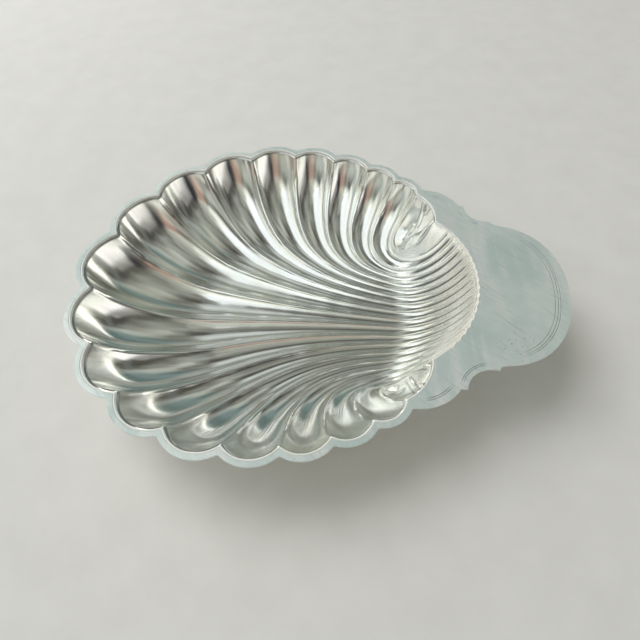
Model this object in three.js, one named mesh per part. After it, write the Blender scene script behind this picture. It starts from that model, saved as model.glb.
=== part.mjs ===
// Silver scallop shell dish: a fluted bowl set in a flat rim and handle plate.
// Millimetres, +Z up. The handle points along +X, the bowl lies behind it along -X,
// and the dish stands on the undersides of its flutes at z = 0.
// Plan positions are first worked out from the hinge lip, the middle of the edge where
// the flutes meet the handle, and the finished pieces are then centred on the origin.
import * as THREE from 'three';

// Heights and sheet
const dishHeight = 40;        // from the table to the top of the plate
const bowlSheet = 1.0;        // wall of the raised bowl
const plateThickness = 1.0;   // rim and handle sheet
const footWear = 0.4;         // the flutes' undersides are flat this deep, to stand on
const jointGap = 0.2;         // solder film between the bowl's lip and the plate

// Rim: lobes between notches that lie on a circle
const rimRadius = 100.7;      // circle through the outer notches
const rimCentre = 107.5;      // from the hinge lip back to the centre of that circle
const lobesPerSide = 8;       // lobes on each side of the one at the front
const heelLobe = 9.8;         // degrees that the lobe beside the handle takes
const lobeGrowth = 1.72;      // and how many more each next lobe towards the front takes
const heelSwell = 4.0;        // how far the notches beside the handle stand off the circle
const swellStart = 90;        // degrees from the front where the rim leaves the circle
const swellSpan = 48;         // degrees from there to the last notch
const frontArch = 0.23;       // height of the front lobe as a share of its width
const heelArch = 0.16;        // and of the lobe beside the handle
const notchHalf = 0.7;        // half the blunt end of an outer notch
const flangeWidth = 2.4;      // flat rim outside the bowl

// Bowl
const rimBand = 2.5;          // upright band under the lip, above the flutes
const hingeBand = 0.8;        // the same at the hinge
const hingeRadius = 56;       // arc of the hinge lip
const ribPitch = 4.9;         // ridge to ridge along the hinge lip
const earRadius = 24;         // small end lobe between the last notch and the hinge
const earBack = 16.5;         // from the last outer notch back to the centre of that lobe
const earInward = 23.9;       // and in towards the middle
const rimWallRun = 70;        // plan length of the curved wall below the rim
const hingeWallRun = 40;      // plan length of the curved wall below the hinge
const crestHalf = 0.7;        // half width of the rounded crest between two flutes
const floorArch = 0.21;       // depth of a flute as a share of its width
const earArch = 0.03;         // the same in the two end lobes beside the hinge
const earRun = 12;            // length over which the rim's arch becomes that
const archRun = 25;           // length over which the rim's arch becomes the floor's
const fadeDepth = 6;          // the flutes fade out over this depth below the hinge lip

// Where each ridge turns from the rim towards the hinge, as shares of the rim's radius
const turnBack = 0.065;
const turnSpread = 0.0144;
const turnMiddle = 3;
const turnStart = 0.015;
const turnPitch = 0.0526;

// Handle
const lobeWidth = 88.4;       // across the round end of the handle
const lobeLength = 37.2;      // from the widest place to the tip
const lobeCentre = 7;         // widest place, from the hinge lip
const lobePower = 2.2;        // 2 is an ellipse, and more is squarer
const smallCove = 2.6;        // small hollow step where the end lobe starts
const largeCove = 11.2;       // hollow between the step and the shoulder
const stepPlace = 11;         // where the end lobe starts, from the hinge lip
const neckLedge = 3.1;        // straight between the two coves
const shoulderLedge = 3.0;    // straight between the large cove and the shoulder
const shoulderArch = 0.14;    // height of the shoulder's arc as a share of its length

// Solder under the plate
const seamWidth = 1.4;
const seamDrop = 0.8;
const seamGap = 0.3;          // faces of the seam stay this far off bowl and plate

// Facets
const fluteSteps = 5;         // across a flute
const alongSteps = 14;        // from the rim to the hinge
const rimSteps = 6;           // round the edge of a lobe
const shoulderSteps = 10;
const largeCoveSteps = 6;
const smallCoveSteps = 3;
const tipSteps = 14;          // on each side of the handle's round end
const samePlace = 1e-4;       // points closer than this are one

const lobeCount = 2 * lobesPerSide + 1;
const fluteCount = lobeCount + 2;
const lipOffset = flangeWidth + jointGap + bowlSheet;
const bowlDepth = dishHeight - bowlSheet + footWear;

function smooth(value) {
  const t = Math.min(1, Math.max(0, value));
  return t * t * (3 - 2 * t);
}

// The way to the right of someone walking from a to b
function rightOf(a, b) {
  const chord = b.clone().sub(a).normalize();
  return new THREE.Vector2(chord.y, -chord.x);
}

// A circle through a and b whose arc stands out by a share of the chord
function lobeCircle(a, b, arch) {
  const width = a.distanceTo(b);
  const out = rightOf(a, b);
  const radius = width * (1 + 4 * arch * arch) / (8 * arch);
  const centre = a.clone().add(b).multiplyScalar(0.5).addScaledVector(out, arch * width - radius);
  return { centre, radius };
}

// The place where two circles cross, on the side of a point nearby
function crossing(one, two, nearby) {
  const line = two.centre.clone().sub(one.centre);
  const distance = line.length();
  const along = (distance * distance + one.radius ** 2 - two.radius ** 2) / (2 * distance);
  const across = Math.sqrt(one.radius ** 2 - along * along);
  line.divideScalar(distance);
  const foot = one.centre.clone().addScaledVector(line, along);
  const side = new THREE.Vector2(-line.y, line.x);
  const first = foot.clone().addScaledVector(side, across);
  const second = foot.clone().addScaledVector(side, -across);
  return first.distanceTo(nearby) < second.distanceTo(nearby) ? first : second;
}

// Points of an arc from a to b, which leaves half a notch free at each end
function archPoints(a, b, out, arch, startHalf, endHalf, steps) {
  const chord = b.clone().sub(a);
  const width = chord.length();
  const unit = chord.clone().divideScalar(width || 1);
  const span = width - startHalf - endHalf;
  const half = 2 * Math.atan(2 * arch);
  const points = [];
  for (let i = 0; i <= steps; i += 1) {
    const share = i / steps;
    const angle = half * (2 * share - 1);
    const x = arch === 0 ? share : 0.5 + Math.sin(angle) / (2 * Math.sin(half));
    const rise = arch === 0 ? 0 : (Math.cos(angle) - Math.cos(half)) / (2 * Math.sin(half));
    points.push(a.clone().addScaledVector(unit, startHalf + x * span).addScaledVector(out, rise * span));
  }
  return points;
}

// Outer notches from the far end of the handle round the front to the near end
function rimNotches() {
  const side = [];
  let degrees = (heelLobe + lobesPerSide * lobeGrowth) / 2;
  for (let lobe = lobesPerSide; lobe >= 0; lobe -= 1) {
    const swell = heelSwell * (Math.max(0, degrees - swellStart) / swellSpan) ** 2;
    const reach = rimRadius + swell;
    const angle = THREE.MathUtils.degToRad(degrees);
    side.push(new THREE.Vector2(-rimCentre - reach * Math.cos(angle), reach * Math.sin(angle)));
    degrees += heelLobe + (lobe - 1) * lobeGrowth;
  }
  const far = side.slice().reverse();
  const near = side.map((point) => new THREE.Vector2(point.x, -point.y));
  return [...far, ...near];
}

const notches = rimNotches();
const heelNotch = notches[0];

function lobeArch(index) {
  const fromFront = Math.abs(index - lobesPerSide) / lobesPerSide;
  return frontArch + (heelArch - frontArch) * fromFront;
}

const lobes = Array.from({ length: lobeCount }, (_, i) => (
  lobeCircle(notches[i], notches[i + 1], lobeArch(i))
));
const earCentre = new THREE.Vector2(heelNotch.x - earBack, heelNotch.y - earInward);
const hingeCentre = new THREE.Vector2(-hingeRadius, 0);

// The bowl's lip, moved outwards by a distance: its corners and its circles
function lipLine(outwards) {
  const shrink = lipOffset - outwards;
  const ear = { centre: earCentre, radius: earRadius + outwards };
  const mirrorEar = { centre: new THREE.Vector2(earCentre.x, -earCentre.y), radius: ear.radius };
  const rim = lobes.map((lobe) => ({ centre: lobe.centre, radius: lobe.radius - shrink }));
  const circles = [ear, ...rim, mirrorEar];
  const hinge = { centre: hingeCentre, radius: hingeRadius + outwards };
  const cornerGuess = new THREE.Vector2(heelNotch.x, heelNotch.y - earInward);
  const corners = [crossing(ear, hinge, cornerGuess)];
  for (let i = 0; i < lobeCount + 1; i += 1) {
    corners.push(crossing(circles[i], circles[i + 1], notches[i]));
  }
  corners.push(new THREE.Vector2(corners[0].x, -corners[0].y));
  const arches = circles.map((circle, i) => {
    const chord = corners[i].distanceTo(corners[i + 1]);
    return Math.tan(Math.asin(Math.min(1, chord / (2 * circle.radius))) / 2) / 2;
  });
  return { corners, arches };
}

// Where ridge number i from the front meets the hinge lip
function hingePoint(place, outwards) {
  const angle = (place - 0.5) * ribPitch / hingeRadius;
  const reach = hingeRadius + outwards;
  return new THREE.Vector2(reach * Math.cos(angle) - hingeRadius, reach * Math.sin(angle));
}

// Ridge j runs from corner j of the lip: its number from the front, and its side
function ridgePlace(j) {
  const middle = fluteCount / 2;
  return { place: Math.abs(j - middle) + 0.5, side: j < middle ? 1 : -1 };
}

function hingeEnd(j, corners, outwards) {
  if (j === 0 || j === fluteCount) {
    return corners[j].clone();
  }
  const { place, side } = ridgePlace(j);
  const point = hingePoint(place, outwards);
  return new THREE.Vector2(point.x, side * point.y);
}

function turnPoint(j) {
  const { place, side } = ridgePlace(j);
  const back = -turnBack + turnSpread * (place - turnMiddle) ** 2;
  const across = turnStart + turnPitch * (place - 1);
  return new THREE.Vector2(-rimCentre + rimRadius * back, side * rimRadius * across);
}

// Plan lines of the ridges, with rows close together at both walls
function ridgePlan(corners) {
  const lines = [];
  for (let j = 0; j <= fluteCount; j += 1) {
    const start = corners[j];
    const end = hingeEnd(j, corners, 0);
    const curve = new THREE.QuadraticBezierCurve(start, turnPoint(j), end);
    const single = j === 0 || j === fluteCount;
    const points = [];
    for (let row = 0; row <= alongSteps; row += 1) {
      const share = (1 - Math.cos(Math.PI * row / alongSteps)) / 2;
      points.push(single ? start.clone() : curve.getPoint(share));
    }
    lines.push(points);
  }
  return lines;
}

function walkedLengths(points) {
  const lengths = [0];
  for (let i = 1; i < points.length; i += 1) {
    lengths.push(lengths[i - 1] + points[i].distanceTo(points[i - 1]));
  }
  return lengths;
}

function wallShare(distance, run) {
  const left = 1 - Math.min(1, distance / run);
  return Math.sqrt(Math.max(0, 1 - left * left));
}

const lip = lipLine(0);
const plan = ridgePlan(lip.corners);
const walked = plan.map(walkedLengths);

function fluteWidth(j, row) {
  return plan[j][row].distanceTo(plan[j + 1][row]);
}

function bandAt(row) {
  return rimBand + (hingeBand - rimBand) * row / alongSteps;
}

// Ridges in space: steep below the rim and the hinge, and level between
const ridges = plan.map((points, j) => points.map((point, row) => {
  const total = walked[j][alongSteps];
  const left = fluteWidth(Math.max(0, j - 1), row);
  const right = fluteWidth(Math.min(fluteCount - 1, j), row);
  const crestDepth = bowlDepth - floorArch * ((left + right) / 2 - 2 * crestHalf);
  const band = bandAt(row);
  const wall = wallShare(walked[j][row], rimWallRun) * wallShare(total - walked[j][row], hingeWallRun);
  const single = j === 0 || j === fluteCount;
  const drop = single ? bandAt(alongSteps / 2) : band + (crestDepth - band) * wall;
  return new THREE.Vector3(point.x, point.y, dishHeight - drop);
}));

// The way a flute is hollowed: square to its chord and to its run, away from the inside
function fluteOutward(j, row) {
  const chord = ridges[j + 1][row].clone().sub(ridges[j][row]);
  const before = Math.max(0, row - 1);
  const after = Math.min(alongSteps, row + 1);
  const run = new THREE.Vector3();
  for (const k of [j, j + 1]) {
    run.add(ridges[k][after]).sub(ridges[k][before]);
  }
  if (row === 0) {
    run.set(0, 0, -1);
  } else if (row === alongSteps) {
    run.set(0, 0, 1);
  }
  return run.cross(chord).normalize();
}

const outwardRows = [];
for (let row = 0; row <= alongSteps; row += 1) {
  outwardRows.push(Array.from({ length: fluteCount }, (_, j) => fluteOutward(j, row)));
}

function ridgeOutward(j, row) {
  const left = outwardRows[row][Math.max(0, j - 1)];
  const right = outwardRows[row][Math.min(fluteCount - 1, j)];
  return left.clone().add(right).normalize();
}

function fluteArch(j, row) {
  const distance = (walked[j][row] + walked[j + 1][row]) / 2;
  const ear = j === 0 || j === fluteCount - 1;
  const level = ear ? earArch : floorArch;
  const rimShare = 1 - smooth(distance / (ear ? earRun : archRun));
  const arch = level + (lip.arches[j] - level) * rimShare;
  if (row < alongSteps / 2) {
    return arch;
  }
  const depth = dishHeight - (ridges[j][row].z + ridges[j + 1][row].z) / 2 - hingeBand;
  return arch * smooth(depth / fadeDepth);
}

function crestHalves(j) {
  return [j === 0 ? 0 : crestHalf, j === fluteCount - 1 ? 0 : crestHalf];
}

// One row of the bowl, inside and outside, from one corner of the hinge to the other
function bowlRow(row) {
  const inside = [];
  const outside = [];
  for (let j = 0; j < fluteCount; j += 1) {
    const [startHalf, endHalf] = crestHalves(j);
    const out = outwardRows[row][j];
    const arc = archPoints(ridges[j][row], ridges[j + 1][row], out, fluteArch(j, row),
      startHalf, endHalf, fluteSteps);
    const first = ridgeOutward(j, row);
    const last = ridgeOutward(j + 1, row);
    arc.forEach((point, i) => {
      const push = first.clone().lerp(last, i / fluteSteps).normalize();
      const outer = point.clone().addScaledVector(push, bowlSheet);
      outer.z = Math.max(0, outer.z);
      inside.push(point);
      outside.push(outer);
    });
  }
  return { inside, outside };
}

// A closed line round the opening: the lobes first, then back along the hinge
function openingLoop(outwards) {
  const { corners, arches } = lipLine(outwards);
  const loop = [];
  for (let j = 0; j < fluteCount; j += 1) {
    const out = rightOf(corners[j], corners[j + 1]);
    const [startHalf, endHalf] = crestHalves(j);
    loop.push(...archPoints(corners[j], corners[j + 1], out, arches[j], startHalf, endHalf, fluteSteps));
  }
  for (let j = fluteCount - 1; j >= 0; j -= 1) {
    const from = hingeEnd(j + 1, corners, outwards);
    const to = hingeEnd(j, corners, outwards);
    const [startHalf, endHalf] = crestHalves(j);
    const line = archPoints(from, to, new THREE.Vector2(), 0, endHalf, startHalf, fluteSteps);
    loop.push(...line);
  }
  return loop;
}

function dropRepeats(points) {
  return points.filter((point, i) => {
    const next = points[(i + 1) % points.length];
    return point.distanceTo(next) > samePlace;
  });
}

// Closed bodies are collected here: points that coincide are one, and faces with no area go
class Body {
  constructor() {
    this.points = [];
    this.known = new Map();
    this.faces = [];
  }

  add(point) {
    const key = point.toArray().map((value) => Math.round(value / samePlace)).join(' ');
    if (!this.known.has(key)) {
      this.known.set(key, this.points.length / 3);
      this.points.push(point.x, point.y, point.z);
    }
    return this.known.get(key);
  }

  triangle(a, b, c) {
    if (a !== b && b !== c && c !== a) {
      this.faces.push(a, b, c);
    }
  }

  quad(a, b, c, d) {
    this.triangle(a, b, c);
    this.triangle(a, c, d);
  }

  // A strip between two lines with as many points
  strip(lower, upper) {
    for (let i = 0; i + 1 < lower.length; i += 1) {
      this.quad(lower[i], upper[i], upper[i + 1], lower[i + 1]);
    }
  }

  geometry() {
    const geometry = new THREE.BufferGeometry();
    geometry.setAttribute('position', new THREE.Float32BufferAttribute(this.points, 3));
    geometry.setIndex(this.faces);
    geometry.computeVertexNormals();
    return geometry;
  }
}

function raised(loop, z) {
  return loop.map((point) => new THREE.Vector3(point.x, point.y, z));
}

function closed(indices) {
  return [...indices, indices[0]];
}

function bowlGeometry() {
  const body = new Body();
  const innerLip = openingLoop(0);
  const outerLip = openingLoop(bowlSheet);
  const insideRows = [];
  const outsideRows = [];
  const rowLength = fluteCount * (fluteSteps + 1);
  for (let row = 0; row <= alongSteps; row += 1) {
    const { inside, outside } = bowlRow(row);
    outside.forEach((point, i) => {
      const corner = i === 0 || i === rowLength - 1;
      if (corner || row === 0) {
        point.set(outerLip[i].x, outerLip[i].y, dishHeight - bandAt(row));
      } else if (row === alongSteps) {
        const place = outerLip[2 * rowLength - 1 - i];
        point.set(place.x, place.y, dishHeight - bandAt(row));
      }
      if (corner) {
        point.z = inside[i].z;
      }
    });
    insideRows.push(inside.map((point) => body.add(point)));
    outsideRows.push(outside.map((point) => body.add(point)));
  }
  for (let row = 0; row < alongSteps; row += 1) {
    body.strip(insideRows[row + 1], insideRows[row]);
    body.strip(outsideRows[row], outsideRows[row + 1]);
  }
  const around = (rows) => closed([...rows[0], ...rows[alongSteps].slice().reverse()]);
  const topInside = closed(raised(innerLip, dishHeight).map((point) => body.add(point)));
  const topOutside = closed(raised(outerLip, dishHeight).map((point) => body.add(point)));
  body.strip(around(insideRows), topInside);
  body.strip(topInside, topOutside);
  body.strip(topOutside, around(outsideRows));
  return body.geometry();
}

// A hollow quarter of a circle, from behind its centre round to the middle line's side
function cove(x, y, radius, steps) {
  const points = [];
  for (let i = 0; i <= steps; i += 1) {
    const angle = Math.PI / 2 * i / steps;
    points.push(new THREE.Vector2(x - radius * Math.cos(angle), y - radius * Math.sin(angle)));
  }
  return points;
}

// One side of the handle, from the last notch to the tip
function handleSide() {
  const halfWidth = lobeWidth / 2;
  const neck = halfWidth + smallCove;
  const shoulder = neck + largeCove;
  const coveEnd = stepPlace - smallCove - neckLedge;
  const ledgeStart = new THREE.Vector2(coveEnd - largeCove - shoulderLedge, shoulder);
  const out = rightOf(ledgeStart, heelNotch);
  const points = archPoints(heelNotch, ledgeStart, out, shoulderArch, notchHalf, 0, shoulderSteps);
  points.push(...cove(coveEnd, shoulder, largeCove, largeCoveSteps));
  points.push(...cove(stepPlace, neck, smallCove, smallCoveSteps));
  const startAngle = Math.acos(((stepPlace - lobeCentre) / lobeLength) ** (lobePower / 2));
  for (let i = 1; i <= tipSteps; i += 1) {
    const angle = startAngle * (1 - i / tipSteps);
    const x = lobeCentre + lobeLength * Math.cos(angle) ** (2 / lobePower);
    const y = halfWidth * Math.sin(angle) ** (2 / lobePower);
    points.push(new THREE.Vector2(x, y));
  }
  return points;
}

function plateOutline() {
  const far = handleSide();
  const near = far.slice(0, -1).reverse().map((point) => new THREE.Vector2(point.x, -point.y));
  const rim = [];
  for (let i = 0; i < lobeCount; i += 1) {
    const out = rightOf(notches[i], notches[i + 1]);
    rim.push(...archPoints(notches[i], notches[i + 1], out, lobeArch(i), notchHalf, notchHalf, rimSteps));
  }
  return [...far, ...near, ...rim.reverse()];
}

function plateGeometry() {
  const shape = new THREE.Shape(plateOutline());
  const opening = dropRepeats(openingLoop(bowlSheet + jointGap));
  shape.holes.push(new THREE.Path(opening));
  const geometry = new THREE.ExtrudeGeometry(shape, { depth: plateThickness, bevelEnabled: false });
  geometry.translate(0, 0, dishHeight - plateThickness);
  return geometry;
}

// A fillet of solder round the lip, in the corner under the plate
function seamGeometry() {
  const body = new Body();
  const top = dishHeight - plateThickness - seamGap;
  const near = bowlSheet + seamGap;
  const section = [[near, top], [near + seamWidth, top], [near, top - seamDrop]];
  const rings = section.map(([outwards, z]) => (
    closed(raised(openingLoop(outwards), z).map((point) => body.add(point)))
  ));
  rings.forEach((ring, i) => {
    body.strip(ring, rings[(i + 1) % rings.length]);
  });
  return body.geometry();
}

const silver = { metalness: 1, side: THREE.FrontSide };
const polishedSilver = new THREE.MeshStandardMaterial({ ...silver, color: 0xd8d6cc, roughness: 0.18 });
const brushedSilver = new THREE.MeshStandardMaterial({ ...silver, color: 0xa9b3b3, roughness: 0.42 });
const solder = new THREE.MeshStandardMaterial({ ...silver, color: 0xb9b8b0, roughness: 0.5 });

function centreOfPlate(geometry) {
  geometry.computeBoundingBox();
  return (geometry.boundingBox.min.x + geometry.boundingBox.max.x) / 2;
}

const plate = plateGeometry();
const middle = centreOfPlate(plate);

function piece(name, geometry, material) {
  const mesh = new THREE.Mesh(geometry, material);
  mesh.name = name;
  mesh.position.x = -middle;
  return mesh;
}

const dish = new THREE.Group();
dish.name = 'shell_dish';
dish.add(piece('shell_bowl', bowlGeometry(), polishedSilver));
dish.add(piece('rim_and_handle_plate', plate, brushedSilver));
dish.add(piece('solder_seam', seamGeometry(), solder));

export default dish;
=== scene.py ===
# %% [markdown]
# # A silver shell dish
#
# The real dish is two sheets of silver. One is raised and chased into a deep scallop bowl, and the
# other is a flat plate, sawn to a rim of lobes with a broad handle. A seam of solder joins them
# underneath. The frame gives their places and this script gives each of them its real surface.
#
# Lengths are written in millimetres, as a silversmith would, and are made metres where a mesh is
# built. Plan positions are counted from the hinge, the middle of the edge where flutes meet handle.

# %% Load the frame
from math import acos, asin, atan, cos, exp, pi, radians, sin, sqrt, tan

import bmesh
import bpy
from mathutils import Matrix, Vector, noise


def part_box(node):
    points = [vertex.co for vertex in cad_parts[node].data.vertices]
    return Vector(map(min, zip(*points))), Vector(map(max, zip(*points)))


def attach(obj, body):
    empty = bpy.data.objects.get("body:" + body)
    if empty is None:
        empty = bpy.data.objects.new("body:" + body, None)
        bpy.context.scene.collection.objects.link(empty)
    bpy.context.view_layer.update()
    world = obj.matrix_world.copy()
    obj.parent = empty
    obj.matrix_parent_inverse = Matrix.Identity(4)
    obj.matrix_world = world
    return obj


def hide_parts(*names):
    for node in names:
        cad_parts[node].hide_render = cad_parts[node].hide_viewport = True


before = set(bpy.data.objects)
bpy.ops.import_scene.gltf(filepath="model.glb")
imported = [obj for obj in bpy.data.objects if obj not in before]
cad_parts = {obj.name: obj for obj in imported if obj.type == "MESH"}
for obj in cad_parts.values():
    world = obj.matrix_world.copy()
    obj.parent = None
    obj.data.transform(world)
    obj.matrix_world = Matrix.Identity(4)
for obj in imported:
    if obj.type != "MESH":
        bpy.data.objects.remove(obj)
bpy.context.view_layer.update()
MM = 0.001
plate_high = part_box("rim_and_handle_plate")[1]

# %% [markdown]
# ## The camera
#
# The photograph was taken by hand from close by, above the near edge of the dish, with the camera
# leaning a little to the right. A lens shift isn't needed. The camera's place and the spot that it
# looks at are measured from the hinge and from the flat of the plate.

# %% Camera
TOP = plate_high.z / MM
TIP_FROM_HINGE = 44.2
HINGE = plate_high.x / MM - TIP_FROM_HINGE
CAMERA_FROM_HINGE = (-45.92, -163.55)
CAMERA_ABOVE_RIM = 201.70
AIM_FROM_HINGE = (-76.23, -28.12)
CAMERA_LEAN = 5.54
SENSOR_WIDTH = 36
FOCAL_LENGTH = 28.125


def place(point):
    """From millimetres off the hinge to the frame's metres."""
    return Vector(((point[0] + HINGE) * MM, point[1] * MM, point[2] * MM))


camera_spot = place((*CAMERA_FROM_HINGE, TOP + CAMERA_ABOVE_RIM))
camera_target = place((*AIM_FROM_HINGE, TOP))
lens = bpy.data.cameras.new("photo_camera")
lens.sensor_width = SENSOR_WIDTH
lens.lens = FOCAL_LENGTH
camera = bpy.data.objects.new("photo_camera", lens)
camera.location = camera_spot
gaze = (camera_target - camera_spot).to_track_quat("-Z", "Y").to_matrix()
camera.rotation_euler = (gaze @ Matrix.Rotation(radians(-CAMERA_LEAN), 3, "Z")).to_euler()
bpy.context.scene.collection.objects.link(camera)
bpy.context.scene.camera = camera
print("camera", round((camera_target - camera_spot).length / MM), "mm from the dish")

# %% [markdown]
# ## The outline of the rim
#
# The rim has 17 lobes. Their notches lie on one circle, except that the last few beside the handle
# swing out a little, and each lobe takes a few degrees more than the one before it, towards the
# front. A lobe is then an arc through two notches, given by its height as a share of its width.
# Working in arcs keeps the bowl, the plate and the seam on exactly the same curves.

# %% Notches of the rim
LOBES_PER_SIDE = 8
LOBES = 2 * LOBES_PER_SIDE + 1
RIM_RADIUS = 100.7
RIM_CENTRE = 107.5
HEEL_LOBE = 9.8
LOBE_GROWTH = 1.72
HEEL_SWELL = 4.0
SWELL_START = 90
SWELL_SPAN = 48


def rim_notches():
    side = []
    angle = (HEEL_LOBE + LOBES_PER_SIDE * LOBE_GROWTH) / 2
    for lobe in range(LOBES_PER_SIDE, -1, -1):
        swell = HEEL_SWELL * (max(0, angle - SWELL_START) / SWELL_SPAN) ** 2
        reach = RIM_RADIUS + swell
        turn = radians(angle)
        side.append(Vector((-RIM_CENTRE - reach * cos(turn), reach * sin(turn))))
        angle += HEEL_LOBE + (lobe - 1) * LOBE_GROWTH
    near = [Vector((notch.x, -notch.y)) for notch in side]
    return side[::-1] + near


notches = rim_notches()
heel_notch = notches[0]
print(len(notches), "notches, the last one", [round(value, 1) for value in heel_notch])

# %% Arcs and where they cross
FRONT_ARCH = 0.23
HEEL_ARCH = 0.16


def smooth(value):
    share = min(1.0, max(0.0, value))
    return share * share * (3 - 2 * share)


def right_of(start, end):
    chord = (end - start).normalized()
    return Vector((chord.y, -chord.x))


def lobe_arch(index):
    from_front = abs(index - LOBES_PER_SIDE) / LOBES_PER_SIDE
    return FRONT_ARCH + (HEEL_ARCH - FRONT_ARCH) * from_front


def lobe_circle(start, end, arch):
    width = (end - start).length
    radius = width * (1 + 4 * arch * arch) / (8 * arch)
    centre = (start + end) / 2 + right_of(start, end) * (arch * width - radius)
    return centre, radius


def crossing(one, two, nearby):
    line = two[0] - one[0]
    distance = line.length
    along = (distance ** 2 + one[1] ** 2 - two[1] ** 2) / (2 * distance)
    across = sqrt(one[1] ** 2 - along ** 2)
    line.normalize()
    foot = one[0] + line * along
    side = Vector((-line.y, line.x)) * across
    return min((foot + side, foot - side), key=lambda point: (point - nearby).length)


def arc_points(start, end, out, arch, start_half, end_half, steps):
    """An arc that bulges towards out and leaves a little free at each end."""
    width = (end - start).length
    unit = (end - start) / width if width else end - start
    span = width - start_half - end_half
    half = 2 * atan(2 * arch)
    points = []
    for step in range(steps + 1):
        share = step / steps
        turn = half * (2 * share - 1)
        along = 0.5 + sin(turn) / (2 * sin(half)) if arch else share
        rise = (cos(turn) - cos(half)) / (2 * sin(half)) if arch else 0
        points.append(start + unit * (start_half + along * span) + out * (rise * span))
    return points


lobe_circles = [lobe_circle(notches[i], notches[i + 1], lobe_arch(i)) for i in range(LOBES)]
print("the front lobe's circle is", round(2 * lobe_circles[LOBES_PER_SIDE][1]), "mm across")

# %% [markdown]
# ## The bowl's lip
#
# The lip runs inside the flat rim at an even distance. Beside the hinge a small end lobe, the ear
# of the shell, joins the lobes to the arc of the hinge. Where two arcs meet, the lip has a corner,
# and from every corner a ridge starts. Moving all the circles in or out by the same amount gives
# any line that runs beside the lip, such as the opening in the plate or the edge of the solder.

# %% Corners of the lip
FLANGE = 2.4
JOINT_GAP = 0.2
SHEET = 1.0
LIP_INSIDE = FLANGE + JOINT_GAP + SHEET
EAR_RADIUS = 24
EAR_BACK = 16.5
EAR_INWARD = 23.9
HINGE_RADIUS = 56
RIB_PITCH = 4.9
FLUTES = LOBES + 2
ear_centre = heel_notch - Vector((EAR_BACK, EAR_INWARD))
hinge_centre = Vector((-HINGE_RADIUS, 0))


def lip_line(outwards):
    """Corners and arches of the lip, moved outwards by a distance."""
    shrink = LIP_INSIDE - outwards
    ear = (ear_centre, EAR_RADIUS + outwards)
    other_ear = (Vector((ear_centre.x, -ear_centre.y)), ear[1])
    circles = [ear] + [(centre, radius - shrink) for centre, radius in lobe_circles] + [other_ear]
    hinge = (hinge_centre, HINGE_RADIUS + outwards)
    corners = [crossing(ear, hinge, heel_notch - Vector((0, EAR_INWARD)))]
    for i in range(LOBES + 1):
        corners.append(crossing(circles[i], circles[i + 1], notches[i]))
    corners.append(Vector((corners[0].x, -corners[0].y)))
    arches = []
    for circle, start, end in zip(circles, corners, corners[1:]):
        chord = min(1.0, (end - start).length / (2 * circle[1]))
        arches.append(tan(asin(chord) / 2) / 2)
    return corners, arches


def ridge_place(ridge):
    """How many ribs a ridge is from the middle of the hinge, and on which side."""
    middle = FLUTES / 2
    return abs(ridge - middle) + 0.5, 1 if ridge < middle else -1


def hinge_end(ridge, corners, outwards):
    if ridge in (0, FLUTES):
        return corners[ridge].copy()
    count, side = ridge_place(ridge)
    turn = (count - 0.5) * RIB_PITCH / HINGE_RADIUS
    reach = HINGE_RADIUS + outwards
    return Vector((reach * cos(turn) - HINGE_RADIUS, side * reach * sin(turn)))


print("hinge corner of the lip", [round(value, 1) for value in lip_line(0)[0][0]])

# %% [markdown]
# ## The ridges
#
# Between two flutes stands a ridge. In plan each ridge sweeps from its corner of the lip, bends
# round and runs in beside its neighbours to the hinge. A quadratic curve with one turning point
# gives that sweep. In height the ridge drops steeply from the rim like a quarter of an ellipse,
# runs level over the floor and climbs the wall at the hinge.

# %% Plan of the ridges
TURN_BACK = 0.065
TURN_SPREAD = 0.0144
TURN_MIDDLE = 3
TURN_START = 0.015
TURN_PITCH = 0.0526
ALONG = 96
LEDGE = 0.3
MIDDLE_RIDGE = FLUTES // 2


def turn_point(ridge):
    count, side = ridge_place(ridge)
    back = -TURN_BACK + TURN_SPREAD * (count - TURN_MIDDLE) ** 2
    across = TURN_START + TURN_PITCH * (count - 1)
    return Vector((-RIM_CENTRE + RIM_RADIUS * back, side * RIM_RADIUS * across))


def swept(start, turn, end, share):
    """A place on the curve from start to end that bends towards its turning point."""
    return start * (1 - share) ** 2 + turn * (2 * share * (1 - share)) + end * share ** 2


def ridge_plan(ridge, corners):
    start = corners[ridge]
    turn = turn_point(ridge)
    end = hinge_end(ridge, corners, 0)
    points = []
    for row in range(ALONG + 1):
        share = (1 - cos(pi * row / ALONG)) / 2
        points.append(swept(start, turn, end, 0 if ridge in (0, FLUTES) else share))
    return points


def walked_lengths(points):
    lengths = [0]
    for before, after in zip(points, points[1:]):
        lengths.append(lengths[-1] + (after - before).length)
    return lengths


ledge_corners, ledge_arches = lip_line(-LEDGE)
plan = [ridge_plan(ridge, ledge_corners) for ridge in range(FLUTES + 1)]
walked = [walked_lengths(points) for points in plan]
print("the middle ridges run", round(walked[MIDDLE_RIDGE][-1]), "mm from rim to hinge")

# %% Height of the ridges
FLOOR_SHEET = 0.6
BOWL_DEPTH = TOP - FLOOR_SHEET
RIM_BAND = 1.9
HINGE_BAND = 0.8
RIM_WALL_RUN = 57
RIM_WALL_START = 4
HINGE_WALL_RUN = 40
HINGE_WALL_START = 6
FLOOR_ARCH = 0.21
CREST_BASE = 0.4
CREST_SHARE = 0.048
CREST_WOBBLE = 0.15
WOBBLE_LENGTH = 7
WOBBLE_STRIDE = 5


def flute_width(flute, row):
    return (plan[flute + 1][row] - plan[flute][row]).length


def crest_half(ridge, row):
    """Half the width of the rounded crest, which is wider between wide flutes."""
    if ridge in (0, FLUTES):
        return 0
    narrow = min(flute_width(ridge - 1, row), flute_width(ridge, row))
    return CREST_BASE + CREST_SHARE * narrow


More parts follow.
